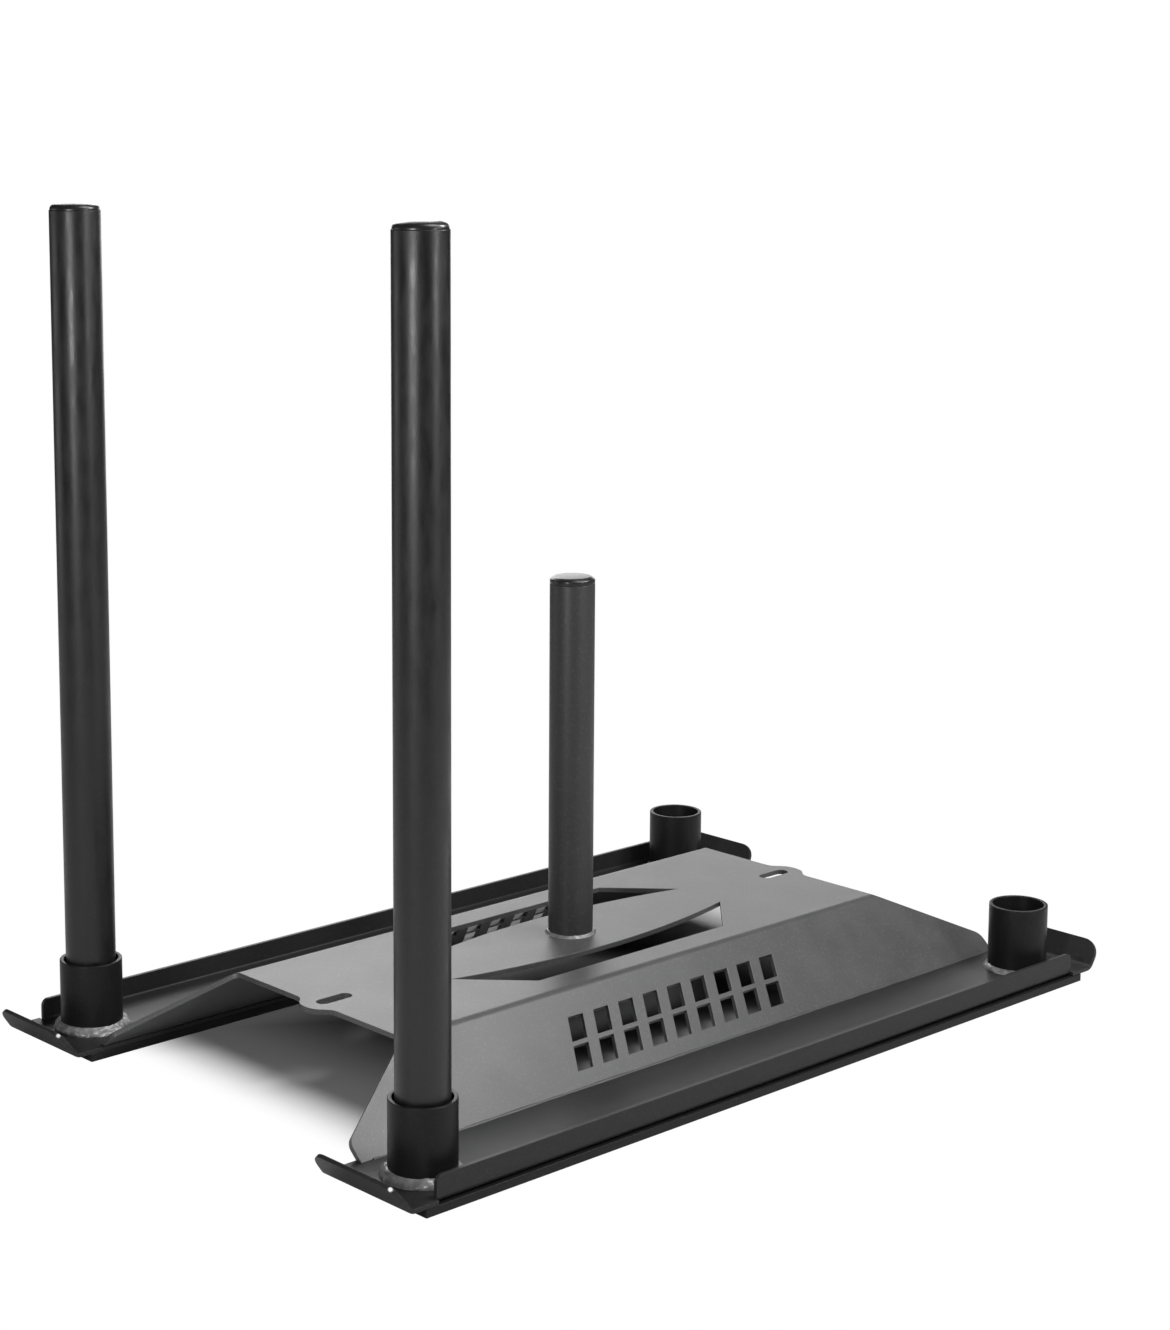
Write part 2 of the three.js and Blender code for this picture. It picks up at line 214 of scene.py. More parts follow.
put_down()
bpy.ops.mesh.primitive_plane_add(size=2, location=(0, 0, DECK_TOP))
bpy.context.object.scale = (FLAT_HALF, FOLD, 1)
deck = in_hand("deck_sheet")
flare_stretch = (FLAT_HALF + FLARE) / FLAT_HALF
for side in (1, -1):
    choose("EDGE", lambda m: near(m.y, side * FOLD) and near(m.x, 0))
    for reach, stretch in ((SLOPE_LENGTH - KINK, flare_stretch), (KINK + SPARE, 1)):
        step = (0, side * math.cos(SLOPE) * reach, -math.sin(SLOPE) * reach)
        bpy.ops.mesh.extrude_region_move(TRANSFORM_OT_translate={"value": step})
        bpy.ops.transform.resize(value=(stretch, 1, 1), center_override=(0, 0, 0))
print("deck skin:", len(bmesh.from_edit_mesh(deck.data).faces), "faces")

# %% [markdown]
# Each end of the flat carries a tow tab with a soft outline. Two cuts mark off the middle
# of the end edge, which is divided finely, and its points are then laid along a smooth
# curve that swells out and back.

# %% Deck: the tow tabs
TAB_HALF, TAB_REACH, TAB_STEPS = 31 * MM, 13.5 * MM, 24
ROOT_PULL, CROWN_PULL = 0.5, 0.62


def tab_point(share):
    """A point on half of the tab's edge: 0 at its root, 1 at its crown."""
    a, b = (1 - share) ** 3, 3 * share * (1 - share) ** 2
    c, d = 3 * share**2 * (1 - share), share**3
    return (c + d) * TAB_REACH, (a + ROOT_PULL * b + CROWN_PULL * c) * TAB_HALF


for y in (-TAB_HALF, TAB_HALF):
    bpy.ops.mesh.select_all(action="SELECT")
    bpy.ops.mesh.bisect(plane_co=(0, y, 0), plane_no=(0, 1, 0))
choose("EDGE", lambda m: near(abs(m.x), FLAT_HALF) and near(m.y, 0))
bpy.ops.mesh.subdivide(number_cuts=TAB_STEPS - 1)
skin = bmesh.from_edit_mesh(deck.data)
for end in (1, -1):
    edge = [
        vertex
        for vertex in skin.verts
        if near(vertex.co.x, end * FLAT_HALF) and abs(vertex.co.y) < TAB_HALF + TINY
    ]
    edge.sort(key=lambda vertex: vertex.co.y)
    for i, vertex in enumerate(edge):
        share = i / (TAB_STEPS / 2)
        out, across = tab_point(min(share, 2 - share))
        vertex.co.x = end * (FLAT_HALF + out)
        vertex.co.y = -across if share < 1 else across
bmesh.update_edit_mesh(deck.data)
bpy.ops.mesh.select_all(action="SELECT")
bpy.ops.mesh.dissolve_limited(angle_limit=NEARLY_FLAT)
print("tab points at each end:", len(edge))

# %% [markdown]
# Now the corners at the flares' feet are rounded with a vertex bevel, and the two fold
# lines with an edge bevel of eight steps, which turns a crease into a rolled bend. The skin
# faces up, so Solidify is told to grow the sheet on the other side of it.

# %% Deck: round the corners and folds, give it thickness
FLARE_ROUND, FOLD_RADIUS, FOLD_STEPS = 6 * MM, 13 * MM, 8

kink_level = DECK_TOP - math.sin(SLOPE) * (SLOPE_LENGTH - KINK)
corners = choose("VERT", lambda m: near(m.z, kink_level) and abs(m.x) > FLAT_HALF)
bpy.ops.mesh.bevel(offset=FLARE_ROUND, segments=6, affect="VERTICES")
folds = choose("EDGE", lambda m: near(abs(m.y), FOLD) and near(m.z, DECK_TOP))
bpy.ops.mesh.bevel(offset=FOLD_RADIUS * math.tan(SLOPE / 2), segments=FOLD_STEPS, affect="EDGES")
bpy.ops.mesh.select_all(action="SELECT")
bpy.ops.mesh.normals_make_consistent(inside=False)
if sum(face.normal.z for face in bmesh.from_edit_mesh(deck.data).faces) < 0:
    bpy.ops.mesh.flip_normals()
applied(deck, "SOLIDIFY", thickness=SHEET, offset=-1, use_even_offset=True)
print("rounded", corners, "corners and", folds, "folds")

# %% [markdown]
# ### The openings in the deck
#
# A hole can be drawn into the skin before it gets its thickness, or cut afterwards with a
# cutter, as the laser does. Cutters are kept here, because the slanted slots lie on the
# slopes and a box turned to the slope cuts them squarely. One slot cutter is sheared by
# hand, copied along its row, and the whole set is turned half round for the other slope.

# %% Cutters: tow slots and the two curved openings
def joined(pieces, name):
    """Several pieces made one."""
    put_down()
    for piece in pieces:
        piece.select_set(True)
    bpy.context.view_layer.objects.active = pieces[0]
    bpy.ops.object.join()
    pieces[0].name = name
    return pieces[0]


CUT_DEEP = 40 * MM
TOW_X, TOW_RADIUS, TOW_STRETCH = 305 * MM, 7 * MM, 12.5 * MM
TOW_SPLIT = TOW_X - 0.1 * MM
put_down()
bpy.ops.mesh.primitive_cylinder_add(
    vertices=40, radius=TOW_RADIUS, depth=CUT_DEEP, location=(TOW_X, 0, DECK_TOP)
)
tow_cutter = in_hand("tow_cutter")
for half in (1, -1):
    choose("VERT", lambda m: half * (m.x - TOW_SPLIT) > 0)
    bpy.ops.transform.translate(value=(half * TOW_STRETCH, 0, 0))
tow_cutters = [tow_cutter, copied(tow_cutter, "tow_cutter_rear", half_turn=True)]

GRIP_TIP, GRIP_OUTER_X, GRIP_STEPS = 187 * MM, 128 * MM, 36
GRIP_INNER, GRIP_BELLY, GRIP_OUTER = 31 * MM, 54.5 * MM, 90 * MM
put_down()
bpy.ops.mesh.primitive_grid_add(
    x_subdivisions=GRIP_STEPS, y_subdivisions=1, size=2, location=(0, 0, DECK_TOP - CUT_DEEP / 2)
)
grip_cutter = in_hand("grip_cutter")
plan = bmesh.from_edit_mesh(grip_cutter.data)
for vertex in plan.verts:
    along, inner = vertex.co.x, vertex.co.y < 0
    vertex.co.x = along * (GRIP_TIP if inner else GRIP_OUTER_X)
    bow = GRIP_BELLY - (GRIP_BELLY - GRIP_INNER) * along**2
    vertex.co.y = bow if inner else GRIP_OUTER
bmesh.update_edit_mesh(grip_cutter.data)
bpy.ops.mesh.select_all(action="SELECT")
bpy.ops.mesh.extrude_region_move(TRANSFORM_OT_translate={"value": (0, 0, CUT_DEEP)})
bpy.ops.mesh.select_all(action="SELECT")
bpy.ops.mesh.normals_make_consistent(inside=False)
grip_cutters = [grip_cutter, copied(grip_cutter, "grip_cutter_right", half_turn=True)]

# %% Cutters: slanted slots in both slopes
SLOT_ROWS, SLOTS_PER_ROW = 2, 9
SLOT_LONG, SLOT_WIDE, SLOT_PITCH = 24 * MM, 19 * MM, 33 * MM
SLOT_GAP, SLOT_TOP = 5 * MM, 29 * MM
LEAN = 0.458 * SLOT_LONG
AT_THE_FACE = 2 * MM


def on_slope(x, down):
    """A point on the left slope, a distance along the sled and another down from the fold."""
    return Vector((x, FOLD + math.cos(SLOPE) * down, DECK_TOP - math.sin(SLOPE) * down))


first_middle = SLOT_TOP + SLOT_LONG / 2
put_down()
bpy.ops.mesh.primitive_cube_add(
    size=1, location=on_slope(0, first_middle), rotation=(-SLOPE, 0, 0)
)
bpy.context.object.scale = (SLOT_WIDE, SLOT_LONG, CUT_DEEP)
slot_cutter = in_hand("slot_cutter")
for half in (1, -1):
    slot_end = on_slope(0, first_middle + half * SLOT_LONG / 2)
    choose("FACE", lambda m: (m - slot_end).length < AT_THE_FACE)
    bpy.ops.transform.translate(value=(half * LEAN / 2, 0, 0))
slot_cutters = []
for row in range(SLOT_ROWS):
    for column in range(SLOTS_PER_ROW):
        down = row * (SLOT_LONG + SLOT_GAP)
        x = (column - (SLOTS_PER_ROW - 1) / 2) * SLOT_PITCH + (down / SLOT_LONG + 0.5) * LEAN
        step = on_slope(x, down) - on_slope(0, 0)
        slot_cutters.append(copied(slot_cutter, f"slot_cutter_{row}_{column}", move=step))
put_down()
bpy.data.objects.remove(slot_cutter)
left_slots = joined(slot_cutters, "left_slots")
slot_sets = [left_slots, copied(left_slots, "right_slots", half_turn=True)]
print("slots:", 2 * len(slot_cutters))

# %% Cut the deck, trim its feet level, round the edges
DECK_EDGE_ROUND = 0.5 * MM
hole_cutters = [joined(tow_cutters, "tow_cutters"), joined(grip_cutters, "grip_cutters")]
for cutter in hole_cutters + slot_sets:
    applied(deck, "BOOLEAN", operation="DIFFERENCE", solver="EXACT", object=cutter)
    bpy.data.objects.remove(cutter)
take(deck)
bpy.ops.object.mode_set(mode="EDIT")
bpy.ops.mesh.select_all(action="SELECT")
bpy.ops.mesh.bisect(
    plane_co=(0, 0, TRAY_TOP), plane_no=(0, 0, 1), clear_inner=True, use_fill=True
)
bpy.ops.mesh.select_all(action="SELECT")
bpy.ops.mesh.dissolve_limited(angle_limit=NEARLY_FLAT)
softened(deck, DECK_EDGE_ROUND)
print("deck sheet:", len(deck.data.polygons), "faces")
print("deck box:", [round(d, 4) for d in deck.dimensions])

# %% [markdown]
# ## Runner trays
#
# Each tray is one bent 4 mm sheet: a floor, an upright lip on the outer side and a nose
# turned up at each end, so that the sled rides over joints in the turf. As with the deck,
# the outer skin is drawn first. The strip for the lip is cut off short of the noses,
# because a press brake can't fold two ways at one corner, and is extruded out and up.

# %% Tray: floor, noses and lip
TRAY_SHEET, SKID_TOP = 4 * MM, 8 * MM
RUNNER_HALF, RUNNER_IN, RUNNER_OUT = 450 * MM, 188 * MM, 300 * MM
NOSE_ANGLE, NOSE_RADIUS, NOSE_LONG = math.radians(55), 10 * MM, 25.3 * MM
NOSE_OVERHANG, NOSE_ROUND = 12 * MM, 18 * MM
LIP_FACE, LIP_TOP, LIP_HALF = 297 * MM, 32 * MM, 436 * MM
LIP_ROUND, LIP_RADIUS = 7 * MM, 6 * MM
NOSE_TANGENT = NOSE_RADIUS * math.tan(NOSE_ANGLE / 2)
BEND_LINE = RUNNER_HALF + NOSE_OVERHANG + NOSE_TANGENT

put_down()
bpy.ops.mesh.primitive_plane_add(size=1, location=(0, (RUNNER_IN + RUNNER_OUT) / 2, SKID_TOP))
bpy.context.object.scale = (2 * BEND_LINE, RUNNER_OUT - RUNNER_IN, 1)
tray = in_hand("tray_left")
for end in (1, -1):
    choose("EDGE", lambda m: near(m.x, end * BEND_LINE))
    reach = NOSE_TANGENT + NOSE_LONG
    step = (end * math.cos(NOSE_ANGLE) * reach, 0, math.sin(NOSE_ANGLE) * reach)
    bpy.ops.mesh.extrude_region_move(TRANSFORM_OT_translate={"value": step})
choose("VERT", lambda m: m.z > SKID_TOP + MM)
bpy.ops.mesh.bevel(offset=NOSE_ROUND, segments=8, affect="VERTICES")
choose("EDGE", lambda m: near(abs(m.x), BEND_LINE))
bpy.ops.mesh.bevel(offset=NOSE_TANGENT, segments=6, affect="EDGES")

LIP_ROOT = LIP_FACE - 2 * LIP_RADIUS
lip_cuts = (
    ((LIP_HALF, 0, 0), (1, 0, 0)),
    ((-LIP_HALF, 0, 0), (1, 0, 0)),
    ((0, LIP_ROOT, 0), (0, 1, 0)),
)
for place, across in lip_cuts:
    bpy.ops.mesh.select_all(action="SELECT")
    bpy.ops.mesh.bisect(plane_co=place, plane_no=across)
choose("FACE", lambda m: abs(m.x) < LIP_HALF and m.y > LIP_ROOT)
bpy.ops.mesh.delete(type="FACE")
choose("EDGE", lambda m: abs(m.x) < LIP_HALF - MM and near(m.y, LIP_ROOT))
bpy.ops.mesh.extrude_region_move(TRANSFORM_OT_translate={"value": (0, LIP_FACE - LIP_ROOT, 0)})
bpy.ops.mesh.extrude_region_move(TRANSFORM_OT_translate={"value": (0, 0, LIP_TOP - SKID_TOP)})
choose("VERT", lambda m: near(m.z, LIP_TOP) and near(abs(m.x), LIP_HALF))
bpy.ops.mesh.bevel(offset=LIP_ROUND, segments=6, affect="VERTICES")
choose("EDGE", lambda m: near(m.y, LIP_FACE) and near(m.z, SKID_TOP))
bpy.ops.mesh.bevel(offset=LIP_RADIUS, segments=6, affect="EDGES")
print("tray skin:", len(bmesh.from_edit_mesh(tray.data).faces), "faces")

# %% Tray: thickness and edges, then its twin
TRAY_EDGE_ROUND = 0.4 * MM
bpy.ops.mesh.select_all(action="SELECT")
bpy.ops.mesh.normals_make_consistent(inside=False)
if sum(face.normal.z for face in bmesh.from_edit_mesh(tray.data).faces) > 0:
    bpy.ops.mesh.flip_normals()
applied(tray, "SOLIDIFY", thickness=TRAY_SHEET, offset=-1, use_even_offset=True)
softened(tray, TRAY_EDGE_ROUND)
trays = {"left": tray, "right": copied(tray, "tray_right", half_turn=True)}
print("tray:", [round(d, 4) for d in tray.dimensions])

# %% [markdown]
# ## Skid bars
#
# Under each tray lies a flat bar, 8 mm thick and a little wider than the lip, which wears
# in the tray's place. A block would do, but real bar has rolled corners and a slightly
# hollow look where the saw has taken its ends off. A plane is extruded to the bar's height
# and its ends are inset a hair, so that each end shows a fine rim.

# %% Skid bars
UNDER_TRAY_GAP = 0.15 * MM
END_RIM, END_HOLLOW, SKID_EDGE_ROUND = 0.9 * MM, 0.25 * MM, 0.6 * MM
put_down()
bpy.ops.mesh.primitive_plane_add(size=1, location=(0, (RUNNER_IN + RUNNER_OUT) / 2, 0))
bpy.context.object.scale = (2 * RUNNER_HALF, RUNNER_OUT - RUNNER_IN, 1)
skid = in_hand("skid_left")
bpy.ops.mesh.select_all(action="SELECT")
step = (0, 0, SKID_TOP - UNDER_TRAY_GAP)
bpy.ops.mesh.extrude_region_move(TRANSFORM_OT_translate={"value": step})
bpy.ops.mesh.select_all(action="SELECT")
bpy.ops.mesh.normals_make_consistent(inside=False)
choose("FACE", lambda m: near(abs(m.x), RUNNER_HALF))
bpy.ops.mesh.inset(thickness=END_RIM, depth=-END_HOLLOW, use_individual=True)
softened(skid, SKID_EDGE_ROUND, segments=3)
skids = {"left": skid, "right": copied(skid, "skid_right", half_turn=True)}
print("skid bar:", [round(d, 4) for d in skid.dimensions])

# %% [markdown]
# ## Round pieces
#
# Sockets, poles, caps and plugs are all round about one upright axis. A cylinder could be
# inset and extruded for each, but drawing half of the outline and spinning it gives every
# small radius on the way. A plane is merged to a single point, the point is extruded along
# the outline, and the outline is spun a full turn.

# %% Spin an outline
SEAM_OF_SPIN = 0.002 * MM


def spun(name, centre, outline, steps=96):
    """A round piece from (radius, height) points in millimetres, about an upright axis."""
    put_down()
    bpy.ops.mesh.primitive_plane_add(size=MM)
    piece = in_hand(name)
    bpy.ops.mesh.select_all(action="SELECT")
    bpy.ops.mesh.merge(type="CENTER")
    x, y = centre
    bpy.ops.transform.translate(value=(x + outline[0][0] * MM, y, outline[0][1] * MM))
    for (r0, z0), (r1, z1) in zip(outline, outline[1:]):
        step = ((r1 - r0) * MM, 0, (z1 - z0) * MM)
        bpy.ops.mesh.extrude_vertices_move(TRANSFORM_OT_translate={"value": step})
    bpy.ops.mesh.select_all(action="SELECT")
    bpy.ops.mesh.spin(steps=steps, angle=2 * math.pi, center=(x, y, 0), axis=(0, 0, 1))
    bpy.ops.mesh.select_all(action="SELECT")
    bpy.ops.mesh.remove_doubles(threshold=SEAM_OF_SPIN)
    bpy.ops.mesh.normals_make_consistent(inside=False)
    bpy.ops.object.mode_set(mode="OBJECT")
    bpy.ops.object.shade_smooth_by_angle(angle=SHARP_FROM)
    return piece


def rounded(corner, before, after, radius, steps=3):
    """Points that round one corner of an outline, between the points before and after it."""
    c, b, a = Vector(corner), Vector(before), Vector(after)
    start, end = c + (b - c).normalized() * radius, c + (a - c).normalized() * radius
    points = []
    for i in range(steps + 1):
        t = i / steps
        points.append(tuple(start * (1 - t) ** 2 + c * (2 * t * (1 - t)) + end * t * t))
    return points


def outline_of(corners, closed=True):
    """An outline from (radius, height, rounding) corners."""
    points, count = [], len(corners)
    for i, (r, z, radius) in enumerate(corners):
        if radius == 0:
            points.append((r, z))
            continue
        before, after = corners[i - 1], corners[(i + 1) % count]
        points += rounded((r, z), before[:2], after[:2], radius)
    return points + points[:1] if closed else points


# %% [markdown]
# A socket is a short length of tube, sawn square and welded upright on the tray floor. Its
# outline is a tall thin rectangle, with the two corners at the mouth rounded, because that
# rim is worn by every pole that drops in. All four are the same, so one is spun and copied.

# %% Sockets
SOCKET_X, SOCKET_Y = 409 * MM, 248 * MM
SOCKET_R, SOCKET_WALL, SOCKET_FOOT, SOCKET_MOUTH, RIM_ROUND = 30.15, 4, 12, 80, 0.9
socket_outline = outline_of([
    (SOCKET_R - SOCKET_WALL, SOCKET_FOOT, 0), (SOCKET_R, SOCKET_FOOT, 0),
    (SOCKET_R, SOCKET_MOUTH, RIM_ROUND), (SOCKET_R - SOCKET_WALL, SOCKET_MOUTH, RIM_ROUND),
])
places = {
    "rear_left": (-SOCKET_X, SOCKET_Y), "rear_right": (-SOCKET_X, -SOCKET_Y),
    "front_left": (SOCKET_X, SOCKET_Y), "front_right": (SOCKET_X, -SOCKET_Y),
}
sockets = {"rear_left": spun("socket_tube_rear_left", places["rear_left"], socket_outline)}
for place, (x, y) in places.items():
    if place not in sockets:
        step = (x - places["rear_left"][0], y - places["rear_left"][1], 0)
        sockets[place] = copied(sockets["rear_left"], f"socket_tube_{place}", move=step)
print("sockets:", list(sockets))

# %% [markdown]
# A push pole is a 48.3 mm tube, closed at the top by a moulded plug. The plug's flange is a
# touch smaller than the tube, so a thin dark line runs round where they meet, and its crown
# is a shallow dome. The foot has a flat plug of the same kind, which shows only when the
# pole is lifted out.

# %% Push poles, caps and foot plugs
POLE_R, POLE_WALL, POLE_FOOT, POLE_TOP = 24.15, 3, 15, 804.5
PLUG_R, PLUG_END = 20.85, 790
CAP_R, CAP_SEAT, CAP_CROWN = 23.5, 804.6, 812
CAP_DOME = [(23.4, 805.8, 0), (22.5, 808.8, 2.2), (15.3, 811.4, 4)]
FOOT_PLUG_R, FOOT_PLUG_BORE = 23.4, 18.35
FOOT_PLUG_LOW, FOOT_PLUG_FLOOR, FOOT_PLUG_HIGH = 12, 14.6, 37
pole_outline = outline_of([
    (POLE_R - POLE_WALL, POLE_FOOT, 0), (POLE_R, POLE_FOOT, 0.5),
    (POLE_R, POLE_TOP, 0.7), (POLE_R - POLE_WALL, POLE_TOP, 0.5),
])
cap_outline = outline_of([
    (0, PLUG_END, 0), (PLUG_R, PLUG_END, 0), (PLUG_R, CAP_SEAT, 0), (CAP_R, CAP_SEAT, 0.25),
    *CAP_DOME, (0, CAP_CROWN, 0),
], closed=False)
foot_outline = outline_of([
    (0, FOOT_PLUG_LOW, 0), (FOOT_PLUG_R, FOOT_PLUG_LOW, 0.8), (FOOT_PLUG_R, POLE_FOOT, 0.2),
    (PLUG_R, POLE_FOOT, 0), (PLUG_R, FOOT_PLUG_HIGH, 0.4), (FOOT_PLUG_BORE, FOOT_PLUG_HIGH, 0.4),
    (FOOT_PLUG_BORE, FOOT_PLUG_FLOOR, 0), (0, FOOT_PLUG_FLOOR, 0),
], closed=False)
poles, caps, foot_plugs = {}, {}, {}
to_the_right = (0, -2 * SOCKET_Y, 0)
for made, name, outline in (
    (poles, "pole_tube", pole_outline),
    (caps, "pole_end_cap", cap_outline),
    (foot_plugs, "pole_foot", foot_outline),
):
    made["left"] = spun(f"{name}_left", places["rear_left"], outline)
    made["right"] = copied(made["left"], f"{name}_right", move=to_the_right)
print("pole tube:", round(poles["left"].dimensions.z, 4), "m")
print("cap:", round(caps["left"].dimensions.z, 4), "m")

# %% [markdown]
# The post for the weight plates is a shorter tube that stands straight on the deck. It is
# drawn as the poles are, but its plug has a flatter top with a plain chamfer, which is what
# the picture shows.

# %% Plate post and its cap
POST_R, POST_WALL, POST_FOOT, POST_TOP = 22.5, 3, 78, 434.9
POST_PLUG_R, POST_PLUG_END, POST_CAP_R, POST_CAP_SEAT = 19.2, 420, 22.45, 435.05
POST_CAP_EDGE, POST_CAP_TOP_R, POST_CAP_TOP = 439.3, 18.6, 442
post = spun("post_tube", (0, 0), outline_of([
    (POST_R - POST_WALL, POST_FOOT, 0), (POST_R, POST_FOOT, 0),
    (POST_R, POST_TOP, 0.6), (POST_R - POST_WALL, POST_TOP, 0.4),
]))
post_cap = spun("post_end_cap", (0, 0), outline_of([
    (0, POST_PLUG_END, 0), (POST_PLUG_R, POST_PLUG_END, 0), (POST_PLUG_R, POST_CAP_SEAT, 0),
    (POST_CAP_R, POST_CAP_SEAT, 0.25), (POST_CAP_R, POST_CAP_EDGE, 0.9),
    (POST_CAP_TOP_R, POST_CAP_TOP, 0.9), (0, POST_CAP_TOP, 0),
], closed=False))
print("post stands", round(post_cap.bound_box[1][2], 3), "m above the floor")

# %% [markdown]
# ## Weld beads
#
# A hand-laid bead is never a clean ring. The torch moves on in steps, and each step leaves
# a soft lobe that overlaps the last. Those lobes could be faked with a bump, but the bead's
# outline against the tube is plain to see, so it is shaped for real: a fillet is spun in
# fine steps, and each of its points is pushed out or in by a broad ripple along the bead
# and by some noise, which stands for the welder's hand. The rear beads, which hold the
# poles' sockets, are fatter than the front ones, as the photograph shows them.

# %% Ring beads round the sockets and the post
LOBE_SLANT, LOBE_MEAN, LOBE_SHARE, HAND_SHARE = 1.1, 0.6, 0.4, 1.6
BROAD_GRAIN, BROAD_WEIGHT, FINE_GRAIN, FINE_WEIGHT = 55, 1.9, 190, 0.8
ROOT_IN, ROOT_DOWN = 0.4, 0.2
FILLET_BOW = ((0.93, 0.22), (0.72, 0.5), (0.45, 0.75), (0.18, 0.93))
RING_DEPTH = 0.16


def bead_swell(along, across, place, pitch, depth):
    """How far a bead swells: overlapping lobes and an unsteady hand."""
    lobe = abs(math.sin(math.pi * along / pitch + LOBE_SLANT * across))
    broad, fine = noise.noise(place * BROAD_GRAIN), noise.noise(place * FINE_GRAIN)
    unsteady = broad * BROAD_WEIGHT + fine * FINE_WEIGHT
    return 1 + LOBE_SHARE * depth * (lobe - LOBE_MEAN) + HAND_SHARE * depth * unsteady


def ring_bead(name, centre, radius, base, leg, steps, pitch=7.5):
    """A bead round a tube: its radius, base, leg and pitch are in millimetres."""
    inner, low = radius - ROOT_IN, base - ROOT_DOWN
    bow = [(radius + out * leg, base + up * leg) for out, up in FILLET_BOW]
    fillet = [(inner, low), (radius + leg, low), *bow, (inner, base + leg), (inner, low)]
    bead = spun(name, centre, fillet, steps)
    x, y = centre
    for vertex in bead.data.vertices:
        from_axis = Vector((vertex.co.x - x, vertex.co.y - y, 0))
        outward = from_axis.normalized()
        corner = Vector((x, y, base * MM)) + outward * radius * MM
        offset = vertex.co - corner
        along = math.atan2(outward.y, outward.x) * radius
        swell = bead_swell(along, offset.z / (leg * MM), vertex.co, pitch, RING_DEPTH)
        if offset.z > -0.1 * MM and offset.dot(outward) > 0:
            vertex.co = corner + offset * swell
    take(bead)
    bpy.ops.object.shade_smooth()
    return bead


REAR_LEG, FRONT_LEG, POST_LEG = 7.4, 4.8, 2.9
SOCKET_BEAD_STEPS, POST_BEAD_STEPS, POST_PITCH = 480, 300, 2
beads = {}
for place, centre in places.items():
    leg = REAR_LEG if "rear" in place else FRONT_LEG
    beads[place] = ring_bead(
        f"socket_bead_{place}", centre, SOCKET_R, SOCKET_FOOT, leg, SOCKET_BEAD_STEPS
    )
post_bead = ring_bead(
    "post_bead", (0, 0), POST_R, POST_FOOT, POST_LEG, POST_BEAD_STEPS, pitch=POST_PITCH
)
print("ring beads:", list(beads), "and", post_bead.name)

# %% [markdown]
# The seam where each slope stands on its tray is much finer: a thin run of metal drawn
# along the foot. One short profile is extruded the length of the slope and rippled in the
# same way as the rings.

# %% Foot seams
SEAM_HALF, SEAM_STEPS, SEAM_LEG = 421 * MM, 560, 1.6 * MM
SEAM_IN, SEAM_DOWN, SEAM_MERGE = 0.3 * MM, 0.2 * MM, 0.01 * MM
SEAM_PITCH, SEAM_DEPTH, SEAM_SWELL_MOST = 2.4, 0.2, 1.15
put_down()
bpy.ops.mesh.primitive_plane_add(size=MM)
seam = in_hand("foot_seam_left")
bpy.ops.mesh.select_all(action="SELECT")
bpy.ops.mesh.merge(type="CENTER")
lean_back = Vector((0, -math.cos(SLOPE), math.sin(SLOPE)))
seam_corner = Vector((-SEAM_HALF, FOOT, TRAY_TOP))
seam_points = [
    seam_corner + Vector((0, -SEAM_IN, -SEAM_DOWN)),
    seam_corner + Vector((0, SEAM_LEG, -SEAM_DOWN)),
    seam_corner + Vector((0, 0.72 * SEAM_LEG, 0.42 * SEAM_LEG)),
    seam_corner + Vector((0, 0.2 * SEAM_LEG, 0.66 * SEAM_LEG)) + lean_back * 0.2 * SEAM_LEG,
    seam_corner + lean_back * SEAM_LEG,
]
bpy.ops.transform.translate(value=seam_points[0])
for start, end in zip(seam_points, seam_points[1:] + seam_points[:1]):
    bpy.ops.mesh.extrude_vertices_move(TRANSFORM_OT_translate={"value": end - start})
bpy.ops.mesh.select_all(action="SELECT")
bpy.ops.mesh.remove_doubles(threshold=SEAM_MERGE)
bpy.ops.mesh.select_all(action="SELECT")
bpy.ops.mesh.extrude_region_move(TRANSFORM_OT_translate={"value": (2 * SEAM_HALF, 0, 0)})
for end in (1, -1):
    choose("EDGE", lambda m: near(m.x, end * SEAM_HALF))
    bpy.ops.mesh.edge_face_add()
choose("EDGE", lambda m: near(m.x, 0))
bpy.ops.mesh.subdivide(number_cuts=SEAM_STEPS - 1)
bpy.ops.mesh.select_all(action="SELECT")
bpy.ops.mesh.normals_make_consistent(inside=False)
bpy.ops.object.mode_set(mode="OBJECT")
for vertex in seam.data.vertices:
    corner = Vector((vertex.co.x, FOOT, TRAY_TOP))
    offset = vertex.co - corner
    if offset.y > 0 or offset.z > 0:
        along, across = vertex.co.x / MM, offset.z / SEAM_LEG
        swell = bead_swell(along, across, vertex.co, SEAM_PITCH, SEAM_DEPTH)
        vertex.co = corner + offset * min(swell, SEAM_SWELL_MOST)
bpy.ops.object.shade_smooth_by_angle(angle=SMOOTH_UP_TO)
seams = {"left": seam, "right": copied(seam, "foot_seam_right", half_turn=True)}
print("seam:", [round(d, 4) for d in seam.dimensions], len(seam.data.polygons), "faces")

# %% [markdown]
# ## The powder coat
#
# Baked powder has a fine pebbled skin. A photograph of noise could be wrapped round each
# piece, but noise computed in the piece's own space needs no unwrapping and keeps one grain
# size on every piece. The grain is built once as a node group that gives a height for the
# bump and a mask that shifts colour and roughness a little, with broad clouds for the
# uneven spray. A second group finds edges and makes them paler: partly where the powder
# pulls thin, partly a painted highlight for the light that the edges catch.

# %% Helpers for shader nodes
def group_of(name, inputs, outputs):
    """A node group of plain numbers: its inputs with their start values, and its outputs."""
    group = bpy.data.node_groups.new(name, "ShaderNodeTree")
    number = "NodeSocketFloat"
    for label, value in inputs.items():
        socket = group.interface.new_socket(name=label, in_out="INPUT", socket_type=number)
        socket.default_value = value
    for label in outputs:
        group.interface.new_socket(name=label, in_out="OUTPUT", socket_type=number)
    return group, group.nodes.new("NodeGroupInput"), group.nodes.new("NodeGroupOutput")


